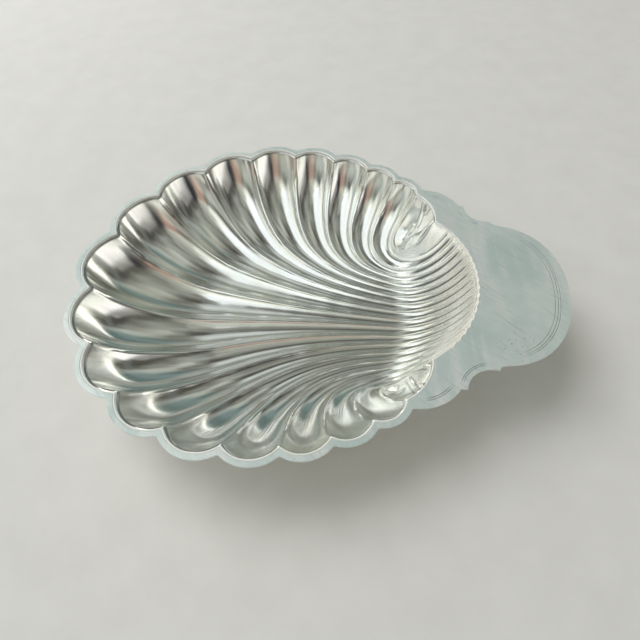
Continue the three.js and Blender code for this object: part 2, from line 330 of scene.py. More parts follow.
def wall_share(distance, run, start):
    """How far down a wall has come, on an ellipse whose first stretch is cut off."""
    first = sqrt(1 - (1 - start / (run + start)) ** 2)
    left = 1 - min(1.0, (distance + start) / (run + start))
    return (sqrt(max(0.0, 1 - left * left)) - first) / (1 - first)


def band_at(row):
    """How far below the rim the flutes start, less at the hinge than at the lobes."""
    return RIM_BAND + (HINGE_BAND - RIM_BAND) * row / ALONG


def along_crest(ridge, row, length, stride, layer):
    """Noise along a crest, in waves of about this length; the stride keeps the crests apart."""
    return noise.noise((stride * ridge, walked[ridge][row] / length, layer))


def ridge_height(ridge, row):
    if ridge in (0, FLUTES):
        return TOP - band_at(ALONG / 2)
    width = (flute_width(ridge - 1, row) + flute_width(ridge, row)) / 2
    crest = BOWL_DEPTH - FLOOR_ARCH * (width - 2 * crest_half(ridge, row))
    gone = walked[ridge][row]
    to_go = walked[ridge][-1] - gone
    rim_wall = wall_share(gone, RIM_WALL_RUN, RIM_WALL_START)
    wall = rim_wall * wall_share(to_go, HINGE_WALL_RUN, HINGE_WALL_START)
    wobble = CREST_WOBBLE * along_crest(ridge, row, WOBBLE_LENGTH, WOBBLE_STRIDE, 0) * wall
    return TOP - band_at(row) - (crest - band_at(row)) * wall + wobble


ridges = [
    [plan[ridge][row].to_3d() + Vector((0, 0, ridge_height(ridge, row))) for row in range(ALONG + 1)]
    for ridge in range(FLUTES + 1)
]
print("lowest ridge stands", round(min(point.z for line in ridges for point in line), 1), "mm up")

# %% [markdown]
# ## The flutes
#
# Across the run a flute is an arc of a circle, hollowed square to its own chord. Two arcs meet in a
# crest, which on the real dish is a smooth bead that throws two fine bright lines. The bead is a
# small arc that leaves each flute at the flute's own slope, so that no crease shows. On the wall of
# the hinge the flutes flatten out, but the beads stay and run up to the lip as ribs. A bevel on a
# sharp crest would need an even width, and these crests swell and narrow with their flutes.

# %% Sections across the flutes
ARC_STEPS = 16
BEAD_STEPS = 6
EARS = (0, FLUTES - 1)
EAR_STEPS = 52
EAR_ARCH = 0.03
EAR_RUN = 12
ARCH_RUN = 25
CUP_RUN = 14
FADE_DEPTH = 2.6
RIB_SLOPE = radians(58)
RIB_FADE = 1.2
LEAST_SLOPE = 0.01


def steps_across(flute):
    """The ears are wide and carry fine folds, so they get more steps."""
    return EAR_STEPS if flute in EARS else ARC_STEPS


def flute_out(flute, row):
    """The way that a flute is hollowed, level at the rim and square to its run further on."""
    chord = ridges[flute + 1][row] - ridges[flute][row]
    if row == 0:
        run = Vector((0, 0, -1))
    elif row == ALONG:
        run = Vector((0, 0, 1))
    else:
        run = Vector()
        for ridge in (flute, flute + 1):
            run += ridges[ridge][row + 1] - ridges[ridge][row - 1]
    square = run.cross(chord).normalized()
    if row > ALONG / 2:
        return square
    level = Vector((0, 0, -1)).cross(chord).normalized()
    gone = (walked[flute][row] + walked[flute + 1][row]) / 2
    return level.lerp(square, smooth(gone / CUP_RUN)).normalized()


def flute_arch(flute, row):
    gone = (walked[flute][row] + walked[flute + 1][row]) / 2
    ear = flute in EARS
    level = EAR_ARCH if ear else FLOOR_ARCH
    rim_share = 1 - smooth(gone / (EAR_RUN if ear else ARCH_RUN))
    arch = level + (ledge_arches[flute] - level) * rim_share
    if row < ALONG / 2:
        return arch
    depth = TOP - (ridges[flute][row].z + ridges[flute + 1][row].z) / 2 - HINGE_BAND
    return arch * smooth(depth / FADE_DEPTH)


print("the hollow of a floor flute is", round(100 * FLOOR_ARCH), "percent of its width")

# %% The bead of a crest
def bead_points(crest, before, after, out, slope, half, lift=0):
    """The rounded crest from one flute to the next, without its two ends."""
    radius = half / sin(slope)
    points = []
    for step in range(1, BEAD_STEPS):
        turn = slope * (2 * step / BEAD_STEPS - 1)
        aside = radius * sin(turn)
        rise = radius * (cos(turn) - cos(slope)) + lift * (1 - (aside / half) ** 2)
        points.append(crest + (before if aside < 0 else after) * aside - out * rise)
    return points


def corner_bead(before, corner, after, arches, half):
    """The small bead that rounds the corner between two arcs of a plan."""
    bisector = (right_of(before, corner) + right_of(corner, after)).normalized()
    slope = atan(2 * arches[0]) + atan(2 * arches[1])
    sides = (corner - before).normalized(), (after - corner).normalized()
    return bead_points(corner, *sides, bisector, slope, half)


def beaded_arcs(corners, arches, steps, half, end_half):
    """Arcs in a row, the corners between them rounded; end_half is left free at both ends."""
    last = len(arches) - 1
    points = []
    for i, arch in enumerate(arches):
        start, end = corners[i], corners[i + 1]
        halves = half if i else end_half, half if i < last else end_half
        points += arc_points(start, end, right_of(start, end), arch, *halves, steps[i])
        if i < last:
            points += corner_bead(start, end, corners[i + 2], arches[i:i + 2], half)
    return points


print("a bead has", BEAD_STEPS, "steps and", len(EARS), "flutes are ears")

# %% [markdown]
# ## The folds of the ears
#
# Beside the hinge the shell curls in on itself. The chaser gave each ear a few soft folds and pressed
# a small curl into it. A fold could be sculpted, but a line in the plan with a rounded swelling
# across it is easy to move and to set, and the far ear gets the near one's folds by mirroring.

# %% Folds of the ears
FOLD_HALF = 0.75
FOLD_RISE = 0.9
FOLD_STEPS = 20
FOLD_HOLLOW = 0.4
FOLD_HOLLOW_REACH = 3
FOLD_FOOT = 1.7
FOLD_FOOT_REACH = 0.5
FOLD_START = 6
FOLD_END = 2.5
CURL = Vector((-37, 51))
CURL_REACH = 4.2
CURL_DEPTH = 2.2
fold_plans = [
    ((-27.6, 61.1), (-28.4, 55.4), (-32.4, 46.5)),
    ((-22.3, 47.4), (-25.2, 44.1), (-33.0, 44.9)),
    ((-25.1, 57.5), (-25.2, 56.2), (-28.5, 55.0)),
]


def fold_points(plan):
    """A fold's line, from the start, the turning point and the end of its plan."""
    knots = [Vector(knot) for knot in plan]
    return [swept(*knots, step / FOLD_STEPS) for step in range(FOLD_STEPS + 1)]


folds = [fold_points(plan) for plan in fold_plans]


def near_folds(point):
    """For each fold, how many half widths away it is and how much of it is left there."""
    spot = Vector((point.x, abs(point.y)))
    found = []
    for line in folds:
        distances = [(spot - knot).length for knot in line]
        nearest = min(distances)
        share = distances.index(nearest) / FOLD_STEPS
        left = smooth(FOLD_START * share) * smooth(FOLD_END * (1 - share))
        found.append((nearest / FOLD_HALF, left))
    return found


def fold_rise(point):
    """How far the folds lift an ear at a place of the plan, less the hollow of its curl."""
    from_curl = (Vector((point.x, abs(point.y))) - CURL).length / CURL_REACH
    lift = 0
    for aside, left in near_folds(point):
        hollow = FOLD_HOLLOW * exp(-(aside / FOLD_HOLLOW_REACH) ** 2)
        lift += left * (exp(-aside ** 2) - hollow)
    return FOLD_RISE * lift - CURL_DEPTH * exp(-from_curl ** 2)


def fold_shade(point):
    """Shade is painted at the foot of each fold."""
    # Painted shade at the foot of each fold
    found = near_folds(point)
    return max(left * exp(-((aside - FOLD_FOOT) / FOLD_FOOT_REACH) ** 2) for aside, left in found)


print("an ear has", len(folds), "folds, the longest", round(walked_lengths(folds[0])[-1]), "mm")

# %% [markdown]
# ## Rows across the bowl
#
# The bowl is built up from rows, each of which runs across all 19 flutes, from one ear to the other.
# A row is a chain of arcs and beads, with the small unevenness of hand work added to it. The sheet's
# underside needs the way outwards at every point, so a row gives that as well.

# %% Rows of the flutes
HAND = 0.05
HAND_LENGTH = 11
DASH = 0.4
DASH_LENGTH = 4.5
DASH_STRIDE = 7
DASH_LAYER = 3


def unevenness(point):
    """The soft waves that the planishing hammer leaves in the sheet."""
    return HAND * noise.noise(point.to_3d() / HAND_LENGTH)


def crest_dashes(ridge, row):
    """Hammer marks along a crest, which break its line of light into dashes."""
    return DASH * along_crest(ridge, row, DASH_LENGTH, DASH_STRIDE, DASH_LAYER)


def flute_row(row):
    """Inside points of one row and the way outwards at each of them."""
    outs = [flute_out(flute, row) for flute in range(FLUTES)]
    chords = [(ridges[f + 1][row] - ridges[f][row]).normalized() for f in range(FLUTES)]
    arches = [flute_arch(flute, row) for flute in range(FLUTES)]
    ridge_outs = [outs[0]] + [(a + b).normalized() for a, b in zip(outs, outs[1:])] + [outs[-1]]
    points = []
    pushes = []
    for flute in range(FLUTES):
        halves = crest_half(flute, row), crest_half(flute + 1, row)
        start, end = ridges[flute][row], ridges[flute + 1][row]
        steps = steps_across(flute)
        arc = arc_points(start, end, outs[flute], arches[flute], *halves, steps)
        if flute in EARS:
            arc = [point - outs[flute] * fold_rise(point) for point in arc]
        points += [point + outs[flute] * unevenness(point) for point in arc]
        for i in range(steps + 1):
            push = ridge_outs[flute].lerp(ridge_outs[flute + 1], i / steps)
            pushes.append(push.normalized())
        if flute + 1 < FLUTES:
            ridge = flute + 1
            depth = TOP - HINGE_BAND - ridges[ridge][row].z
            rib = RIB_SLOPE * smooth(depth / RIB_FADE)
            slope = max(atan(2 * arches[flute]) + atan(2 * arches[ridge]), rib, LEAST_SLOPE)
            sides = chords[flute], chords[ridge]
            crest = ridges[ridge][row]
            lift = crest_dashes(ridge, row) * smooth(depth / FADE_DEPTH)
            points += bead_points(crest, *sides, ridge_outs[ridge], slope, halves[1], lift)
            pushes += [ridge_outs[ridge]] * (BEAD_STEPS - 1)
    return points, pushes


print("a row has", len(flute_row(ALONG // 2)[0]), "points")

# %% [markdown]
# ## The collar
#
# Above the flutes the sheet stands upright as a collar, which fits the opening of the plate. Its
# top edge is the thin bright line inside the rim. Under it the chaser left a small ledge all round,
# where each flute starts, and it shows as a dark crease. The collar is a few more rows of the same
# grid, each a line beside the lip at its own height, so that it needs no joint to the flutes. Its
# profile is a list of pairs: how far outside the lip a row lies, and how far below the rim's top.

# %% Lines beside the lip
LIP_BEAD = 0.6
WAVE = 0.16
CROWN_STEPS = 8


def plan_row(outwards, height):
    """The lobes' side of the collar."""
    steps = [steps_across(flute) for flute in range(FLUTES)]
    points = beaded_arcs(*lip_line(outwards), steps, LIP_BEAD, 0)
    return [Vector((point.x, point.y, height)) for point in points]


def hinge_row(outwards, height):
    """The hinge's side of the collar, slightly waved from rib to rib."""
    corners = lip_line(outwards)[0]
    ends = [hinge_end(ridge, corners, outwards) for ridge in range(FLUTES + 1)]
    points = []
    for flute in range(FLUTES):
        out = right_of(ends[flute + 1], ends[flute])
        halves = crest_half(flute, ALONG), crest_half(flute + 1, ALONG)
        arch = 0 if flute in EARS else WAVE
        steps = steps_across(flute)
        points += arc_points(ends[flute], ends[flute + 1], out, arch, *halves, steps)
        if flute + 1 < FLUTES:
            unit = (ends[flute + 1] - ends[flute]).normalized()
            after = (ends[flute + 2] - ends[flute + 1]).normalized()
            points += bead_points(ends[flute + 1], unit, after, out, LEAST_SLOPE, halves[1])
    return [Vector((point.x, point.y, height)) for point in points]


def lip_loop(outwards, height):
    """Both sides as one closed line."""
    return plan_row(outwards, height) + hinge_row(outwards, height)[::-1]


crown_turns = [pi * step / CROWN_STEPS for step in range(CROWN_STEPS + 1)]
crown = [(SHEET * (1 + cos(turn)) / 2, SHEET * (1 - sin(turn)) / 2) for turn in crown_turns]
rim_collar = [(SHEET, 1.6)] + crown + [(0, 0.9), (0, 1.3), (-0.05, 1.5), (-0.2, 1.6)]
hinge_collar = [(0, 0.6)] + crown[::-1] + [(SHEET, 0.75)]
print(len(plan_row(0, TOP)), len(hinge_row(0, TOP)), "points on the two sides")

# %% [markdown]
# ## The bowl's mesh
#
# One grid makes the whole closed shell. Its rows go up the outside of the collar, down into the
# bowl, along the flutes to the hinge, up and over the collar there, and back underneath, where every
# third row is enough. Each vertex of the flat grid is then moved to its place. Where the rows come
# together at the two corners of the hinge, and where the last row meets the first, doubles are
# merged. A Solidify modifier could thicken the sheet, but not keep the collar upright and even.

# %% Rows of the bowl
UNDER_STEP = 3
LEDGE_ROW = len(rim_collar)
HINGE_ROW = LEDGE_ROW + ALONG


def bowl_rows():
    """All rows in the order of the grid; the undersides end on the table."""
    inside = [flute_row(row) for row in range(ALONG + 1)]
    rows = [plan_row(outwards, TOP - drop) for outwards, drop in rim_collar]
    rows += [points for points, pushes in inside]
    rows += [hinge_row(outwards, TOP - drop) for outwards, drop in hinge_collar]
    for row in range(ALONG - UNDER_STEP, 0, -UNDER_STEP):
        points, pushes = inside[row]
        under = [point + push * SHEET for point, push in zip(points, pushes)]
        rows.append([Vector((point.x, point.y, max(0.0, point.z))) for point in under])
    return rows


def pin_corners(rows):
    """Below the collar's crown the ends of all rows are one corner, inside and outside."""
    inside_crown = 1 + len(crown)
    outside_hinge = HINGE_ROW + len(hinge_collar)
    inner = rows[LEDGE_ROW][0], rows[LEDGE_ROW][-1]
    outer = rows[0][0], rows[0][-1]
    for row in rows[inside_crown:HINGE_ROW + 2]:
        row[0], row[-1] = inner[0].copy(), inner[1].copy()
    for row in rows[outside_hinge:]:
        row[0], row[-1] = outer[0].copy(), outer[1].copy()
    return rows


rows = pin_corners(bowl_rows())
print(len(rows), "rows of", len(rows[0]), "points")

# %% [markdown]
# ## Painted shade and wear on the bowl
#
# Shade is painted as a dark colour where it falls: in the crease under the collar, at the foot of
# the ears' folds and on one side of each rib of the hinge. Rubbing dulls the collar's crown.
# Both follow the shape closely, so they are written as two numbers at each vertex for the finish.

# %% Painted shade and wear on the bowl
# Painted shade: dark in the crease under the collar, at the foot of the folds and on one side of each
# rib
SHADE_REACH = 0.2
LEDGE_SHADE = 0.45
FOLD_SHADE = 0.6
RIB_SHADE = (1, 3, 27, 36)
RIB_DARK = 0.95
RIB_DARK_PLACE = 3
RIB_DARK_REACH = 4
RIB_DARK_COLUMNS = range(-11, 5)
UNDER_CROWN_WEAR = 0.6
rib_edges = {}
column = 0
for flute in range(FLUTES - 1):
    column += steps_across(flute)
    for aside in RIB_DARK_COLUMNS:
        away = (aside + RIB_DARK_PLACE) / RIB_DARK_REACH
        rib_edges[column + aside] = RIB_DARK * exp(-away ** 2)
    column += BEAD_STEPS
crown_rows = set(range(1, 1 + len(crown)))
crown_rows |= set(range(HINGE_ROW + 1, HINGE_ROW + 3 + len(crown)))


def wear(row):
    """The crown of the collar is rubbed dull, and the row under it a little."""
    if row in crown_rows:
        return 1
    return UNDER_CROWN_WEAR if row == len(crown) + 1 else 0


def painted_shade(row, column):
    """Painted shade: dark under the collar, on one side of each rib of the hinge and at the ears'
    folds.
    """
    if not LEDGE_ROW - 1 <= row <= HINGE_ROW:
        return 0
    if LEDGE_ROW < row < HINGE_ROW and not EAR_STEPS < column < len(rows[0]) - 1 - EAR_STEPS:
        return FOLD_SHADE * fold_shade(rows[row][column])
    inside = max(0, row - LEDGE_ROW)
    below = walked[MIDDLE_RIDGE][inside]
    if column not in rib_edges or inside < ALONG / 2:
        return LEDGE_SHADE * exp(-(below / SHADE_REACH) ** 2)
    to_go = walked[MIDDLE_RIDGE][-1] - below
    near, full, fading, gone = RIB_SHADE
    left = smooth((to_go - near) / (full - near)) * smooth((gone - to_go) / (gone - fading))
    return rib_edges[column] * left


print(len(rib_edges), "columns of dirt beside ribs")

# %% Move the grid into place
DOUBLES = 0.002 * MM


def finished(name, bm):
    """Merges a mesh's doubles, turns its faces outwards and puts it in the scene."""
    bmesh.ops.remove_doubles(bm, verts=bm.verts, dist=DOUBLES)
    bmesh.ops.recalc_face_normals(bm, faces=bm.faces)
    mesh = bpy.data.meshes.new(name)
    bm.to_mesh(mesh)
    open_edges = sum(1 for edge in bm.edges if not edge.is_manifold)
    bm.free()
    made = bpy.data.objects.new(name, mesh)
    bpy.context.scene.collection.objects.link(made)
    print(name, len(mesh.polygons), "faces,", open_edges, "open edges")
    return made


def bent_grid(rows):
    """A flat grid, each vertex moved to its place in rows, with a map that follows the rows."""
    across = len(rows[0]) - 1
    along = len(rows)
    bm = bmesh.new()
    bmesh.ops.create_grid(bm, x_segments=across, y_segments=along, size=1)
    marks = bm.loops.layers.uv.new("Run")
    # A layer of painted shade, dark in the creases
    shade_layer = bm.verts.layers.float.new("painted_shade")
    worn = bm.verts.layers.float.new("worn")
    for face in bm.faces:
        face.smooth = True
        for loop in face.loops:
            flat = loop.vert.co
            loop[marks].uv = ((flat.x + 1) / 2, (flat.y + 1) / 2)
    for vert in bm.verts:
        i = round((vert.co.x + 1) / 2 * across)
        j = round((vert.co.y + 1) / 2 * along)
        vert.co = place(rows[j % len(rows)][i])
        vert[worn] = wear(j)
        vert[shade_layer] = painted_shade(j, i)
    return bm


bowl = finished("chased_bowl", bent_grid(rows))
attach(bowl, "root")
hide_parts("shell_bowl")

# %% [markdown]
# ## The outline of the plate
#
# The rim and the handle are one flat sheet, cut with a piercing saw and filed. The handle leaves the
# rim in a broad shoulder, steps in twice with a hollow quarter circle, and ends in one large round
# lobe, a little squarer than an ellipse. Only one side is drawn and the other is its mirror image,
# as a smith would fold the paper pattern.

# %% Outline of the handle
LOBE_WIDTH = 88.4
LOBE_LENGTH = 37.2
LOBE_CENTRE = 7
LOBE_POWER = 2.2
SMALL_COVE = 2.6
LARGE_COVE = 11.2
STEP_PLACE = 11
NECK_LEDGE = 3.1
SHOULDER_LEDGE = 3.0
SHOULDER_ARCH = 0.14
NECK = LOBE_WIDTH / 2 + SMALL_COVE
SHOULDER = NECK + LARGE_COVE
COVE_END = STEP_PLACE - SMALL_COVE - NECK_LEDGE
SHOULDER_START = 0.012
SHOULDER_STEPS = 30
SMALL_STEPS = 8
LARGE_STEPS = 18
LOBE_STEPS = 44


def cove(x, y, radius, first=0.0, last=1.0, steps=LARGE_STEPS):
    """A hollow quarter of a circle, or a share of one."""
    turns = [pi / 2 * (first + (last - first) * i / steps) for i in range(steps + 1)]
    return [Vector((x - radius * cos(turn), y - radius * sin(turn))) for turn in turns]


def end_lobe(inset, last_x):
    """The round end from the place last_x to the tip, moved inwards."""
    half_width, length = LOBE_WIDTH / 2 - inset[0], LOBE_LENGTH - inset[1]
    first = acos(((last_x - LOBE_CENTRE) / length) ** (LOBE_POWER / 2))
    points = []
    for i in range(LOBE_STEPS + 1):
        turn = first * (1 - i / LOBE_STEPS)
        x = LOBE_CENTRE + length * cos(turn) ** (2 / LOBE_POWER)
        points.append(Vector((x, half_width * sin(turn) ** (2 / LOBE_POWER))))
    return points


def shoulder_arc(inset, first, last):
    """The shoulder from share first to share last, moved inwards."""
    start = heel_notch
    end = Vector((COVE_END - LARGE_COVE - SHOULDER_LEDGE, SHOULDER))
    centre, radius = lobe_circle(end, start, SHOULDER_ARCH)
    one, two = start - centre, end - centre
    swing = one.angle_signed(two)
    points = []
    for i in range(SHOULDER_STEPS + 1):
        arm = one.copy()
        share = first + (last - first) * i / SHOULDER_STEPS
        arm.rotate(Matrix.Rotation(-swing * share, 2))
        points.append(centre + arm * (1 - inset / radius))
    return points


def handle_side():
    """Half the handle's outline, from the rim's last notch to the tip."""
    points = shoulder_arc(0, SHOULDER_START, 1)
    points += cove(COVE_END, SHOULDER, LARGE_COVE)
    points += cove(STEP_PLACE, NECK, SMALL_COVE, steps=SMALL_STEPS)
    return points + end_lobe((0, 0), STEP_PLACE)[1:]


def mirrored(points):
    return [Vector((point.x, -point.y)) for point in reversed(points)]


far_side = handle_side()
print("the handle's tip", [round(value, 1) for value in far_side[-1]])

# %% Outline of the rim and opening
NOTCH = 0.7
PLATE_GAP = 0.03
POINT_GAP = 0.02
SAW_WASTE = 0.1


def without_doubles(points):
    kept = []
    for point in points:
        if not kept or (point - kept[-1]).length > POINT_GAP:
            kept.append(point)
    if (kept[0] - kept[-1]).length < POINT_GAP:
        kept.pop()
    return kept


def moved_in(loop, distance):
    """A closed loop moved to its own right-hand side, the corners mitred."""
    moved = []
    for i, point in enumerate(loop):
        one = right_of(loop[i - 1], point)
        two = right_of(point, loop[(i + 1) % len(loop)])
        mitre = one + two
        moved.append(point + mitre * (2 * distance / mitre.length_squared))
    return moved


rim_arches = [lobe_arch(i) for i in range(LOBES)]
rim_side = beaded_arcs(notches, rim_arches, [2 * ARC_STEPS] * LOBES, NOTCH, NOTCH)
sawn = without_doubles(far_side + mirrored(far_side)[1:] + rim_side[::-1])
outline = moved_in(sawn, SAW_WASTE)
hole = without_doubles([point.to_2d() for point in lip_loop(SHEET + PLATE_GAP, TOP)])
print(len(outline), "points round the plate,", len(hole), "round its opening")

# %% [markdown]
# ## The engraved border
#
# Fine lines follow the handle's edge a few millimetres inside it: three round the end lobe and two
# along each large cove and shoulder. A graver pushed through silver cuts a small V that starts and
# ends in a point. A bump in the finish would do from afar, but a cut catches light from any side.
# Each line is a strip three vertices wide, its middle pressed in, and the plate's flat face is then
# filled round the strips.

# %% Engraved lines
CUT_WIDTH = 0.44
CUT_DEPTH = 0.18
CUT_POINT = 1 / 6
LOBE_INSETS = ((3.3, 4.9), (4.2, 6.0), (5.4, 7.4))
LOBE_LINE_END = 1.5
COVE_GAPS = (2.4, 3.3)
COVE_SHARES = (0.08, 0.93)
SHOULDER_GAPS = (3.6, 4.6)
SHOULDER_SHARES = (0.2, 0.97)
border = []
for inset in LOBE_INSETS:
    lobe_line = end_lobe(inset, STEP_PLACE + LOBE_LINE_END)
    border.append(lobe_line + mirrored(lobe_line)[1:])
side_lines = [cove(COVE_END, SHOULDER, LARGE_COVE + gap, *COVE_SHARES) for gap in COVE_GAPS]
side_lines += [shoulder_arc(gap, *SHOULDER_SHARES) for gap in SHOULDER_GAPS]
for line in side_lines:
    border += [line, mirrored(line)]
print(len(border), "engraved lines")


def cut_strip(bm, line):
    """A V-shaped cut along a line, pointed at both ends, with painted shade at its bottom."""
    shade_layer = bm.verts.layers.float["painted_shade"]
    steps = len(line) - 1
    made = bmesh.ops.create_grid(bm, x_segments=2, y_segments=steps, size=1)
    for vert in made["verts"]:
        i = round((vert.co.y + 1) / 2 * steps)
        across = round(vert.co.x)
        ahead = line[min(i + 1, steps)] - line[max(i - 1, 0)]
        side = Vector((ahead.y, -ahead.x)).normalized()
        swell = min(1.0, i / steps / CUT_POINT, (steps - i) / steps / CUT_POINT)
        spot = line[i] + side * (across * CUT_WIDTH / 2 * swell)
        vert.co = place((spot.x, spot.y, TOP - (0 if across else CUT_DEPTH * swell)))
        # Painted shade at the bottom of the cut
        vert[shade_layer] = 0 if across else swell


# %% [markdown]
# ## The plate's mesh
#
# A sawn edge gets a soft worn round that catches a line of light. A grid bent round the outline
# makes that edge, and another makes the edge of the opening. The flat top is then filled between
# them and the cuts, and the underside between the two edges alone.

# %% Plate
PLATE = 1.0
EDGE_ROUND = 0.14
EDGE_CHAMFER = 0.04
LEVEL_TOLERANCE = 0.01 * MM
upper_edge = [(EDGE_ROUND, 0), (EDGE_CHAMFER, EDGE_CHAMFER), (0, EDGE_ROUND)]
edge_steps = upper_edge + [(inset, PLATE - drop) for inset, drop in upper_edge[::-1]]


def bent_rings(bm, rings, closed):
    """A grid bent round rings that lie side by side; closed joins the last ring to the first."""
    around = len(rings[0])
    across = len(rings) if closed else len(rings) - 1
    made = bmesh.ops.create_grid(bm, x_segments=around, y_segments=across, size=1)
    for vert in made["verts"]:
        i = round((vert.co.x + 1) / 2 * around) % around
        j = round((vert.co.y + 1) / 2 * across) % len(rings)
        vert.co = place(rings[j][i])


def edge_band(bm, loop):
    """The sawn edge along a closed loop."""
    rings = [
        [(*point, TOP - drop) for point in moved_in(loop, inset)] for inset, drop in edge_steps
    ]
    bent_rings(bm, rings, closed=False)


def fill_level(bm, height):
    """A flat face between all open edges that lie at one height."""
    level = height * MM
    wires = []
    for edge in bm.edges:
        off = max(abs(vert.co.z - level) for vert in edge.verts)
        if edge.is_boundary and off < LEVEL_TOLERANCE:
            wires.append(edge)
    made = bmesh.ops.triangle_fill(bm, use_beauty=True, edges=wires)
    print("filled", len(made["geom"]), "pieces at", round(height, 1))


bm = bmesh.new()
# A layer of painted shade, dark at the bottom of each cut
bm.verts.layers.float.new("painted_shade")
for line in border:
    cut_strip(bm, line)
edge_band(bm, outline)
edge_band(bm, hole)
bmesh.ops.remove_doubles(bm, verts=bm.verts, dist=DOUBLES)
fill_level(bm, TOP)
fill_level(bm, TOP - PLATE)
plate = finished("engraved_plate", bm)
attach(plate, "root")
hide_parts("rim_and_handle_plate")

# %% [markdown]
# ## The seam
#
# Hard solder runs into the corner under the plate and sets as a small hollow fillet all the way
# round. It shows only from below. A curve with a bevel could follow the lip, but a grid with the
# fillet's section, bent round the lip's own lines, touches the plate and the collar exactly. The
# section is a list of pairs again: how far outside the lip, and how far below the rim's top.

# %% Solder seam
fillet = [(1.02, 1.02), (2.7, 1.02), (2.15, 1.1), (1.65, 1.28), (1.3, 1.6), (1.12, 2.1), (1.02, 2.1)]
bm = bmesh.new()
bent_rings(bm, [lip_loop(outwards, TOP - drop) for outwards, drop in fillet], closed=True)
for face in bm.faces:
    face.smooth = True
seam = finished("hard_solder_fillet", bm)
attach(seam, "root")
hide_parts("solder_seam")

# %% [markdown]
# ## The finishes
#
# The bowl was polished and has been rubbed for years, so it mirrors the room through fine lines
# that follow the flutes, and a faint yellow tarnish clouds it. The plate was left satin: the stone
# drew lines along it, wiping left pale streaks, and it took scratches and a few pits. The clouds
# that all the finishes use and the pits are node groups. Each finish sets their sizes for itself,
# as a count in a metre, or in the whole of the bowl's map where marks follow the flutes.

# %% Shared effects
CLOUD = {"Scale": 1, "Detail": 4, "Roughness": 0.55}


def add_node(tree, kind, sockets, **settings):
    """A node whose sockets take a value, or a link where another socket is given."""
    made = tree.nodes.new(kind)
    for name, value in settings.items():
        setattr(made, name, value)
    for name, value in sockets.items():
        if isinstance(value, bpy.types.NodeSocket):
            tree.links.new(value, made.inputs[name])
        else:
            made.inputs[name].default_value = value
    return made


def between(tree, value, low, high, start=0, end=1):
    """From low to high, as the value goes from start to end."""
    sockets = {"Value": value, "From Min": start, "From Max": end, "To Min": low, "To Max": high}
    return add_node(tree, "ShaderNodeMapRange", sockets).outputs["Result"]


def calculated(tree, operation, *values):
    """One step of arithmetic with values and sockets."""
    made = add_node(tree, "ShaderNodeMath", dict(enumerate(values)), operation=operation)
    return made.outputs[0]


def mask_group(name, vectors, numbers):
    """A new group's tree, what it is given and the mask that it gives back."""
    tree = bpy.data.node_groups.new(name, "ShaderNodeTree")
    for label in vectors + numbers:
        kind = "NodeSocketVector" if label in vectors else "NodeSocketFloat"
        tree.interface.new_socket(label, in_out="INPUT", socket_type=kind)
    tree.interface.new_socket("Mask", in_out="OUTPUT", socket_type="NodeSocketFloat")
    given = tree.nodes.new("NodeGroupInput").outputs
    return tree, given, tree.nodes.new("NodeGroupOutput").inputs["Mask"]


clouds, given, mask = mask_group("stretched_clouds", ["Vector", "Scale"], ["Low", "High"])
stretched = add_node(
    clouds, "ShaderNodeVectorMath", {0: given["Vector"], 1: given["Scale"]}, operation="MULTIPLY"
)
cloud = add_node(clouds, "ShaderNodeTexNoise", {"Vector": stretched.outputs[0], **CLOUD})
clouds.links.new(between(clouds, cloud.outputs["Fac"], 0, 1, given["Low"], given["High"]), mask)

pits, given, mask = mask_group("pits", ["Vector"], ["Per Metre", "Size", "Share"])
cells = add_node(pits, "ShaderNodeTexVoronoi", {"Vector": given["Vector"], "Scale": given["Per Metre"]})
spot = between(pits, cells.outputs["Distance"], 0, 1, given["Size"], 0)
chance = calculated(pits, "LESS_THAN", cells.outputs["Color"], given["Share"])
pits.links.new(calculated(pits, "MULTIPLY", spot, chance), mask)
print("groups", [group.name for group in (clouds, pits)])

# %% Parts of a finish
MIX_COLOURS = (6, 7)
MIX_RESULT = 2


def new_finish(piece, name, values):
    """A material of the piece's own, with the numbers that are the same all over it."""
    made = bpy.data.materials.new(name)
    piece.data.materials.append(made)
    made.use_nodes = True
    shader = made.node_tree.nodes["Principled BSDF"]
    for socket, value in values.items():
        shader.inputs[socket].default_value = value
    return made.node_tree, shader


def spots_of(tree):
    """Where a point is on its piece, in metres."""
    return add_node(tree, "ShaderNodeTexCoord", {}).outputs["Object"]


def painted(tree, layer):
    """A number that was written at the vertices."""
    return add_node(tree, "ShaderNodeAttribute", {}, attribute_name=layer).outputs["Fac"]


def masked(tree, vector, scale, low, high):
    """A mask of clouds; its scale is how many there are in a unit, each way."""
    sockets = {"Vector": vector, "Scale": scale, "Low": low, "High": high}
    return add_node(tree, "ShaderNodeGroup", sockets, node_tree=clouds).outputs["Mask"]


def ruled(tree, vector, degrees, *pattern):
    """A mask whose clouds are stretched to lines, turned about the upright."""
    sockets = {"Vector": vector, "Angle": radians(degrees)}
    turned = add_node(tree, "ShaderNodeVectorRotate", sockets, rotation_type="Z_AXIS")
    return masked(tree, turned.outputs["Vector"], *pattern)


def mixed(tree, mask, first, second):
    """One colour where the mask is 0 and the other where it is 1."""
    made = add_node(tree, "ShaderNodeMix", {"Factor": mask}, data_type="RGBA")
    for socket, colour in zip(MIX_COLOURS, (first, second)):
        if isinstance(colour, bpy.types.NodeSocket):
            tree.links.new(colour, made.inputs[socket])
        else:
            made.inputs[socket].default_value = (*colour, 1)
    return made.outputs[MIX_RESULT]


def added(tree, one, two, share):
    """One value and a share of the other."""
    return calculated(tree, "MULTIPLY_ADD", two, share, one)


def near(tree, spots, spot, span):
    """A mask that is 1 near a spot; span is where it begins and where it is full."""
    away = add_node(tree, "ShaderNodeVectorMath", {0: spots, 1: spot}, operation="DISTANCE")
    return between(tree, away.outputs["Value"], 0, 1, *span)


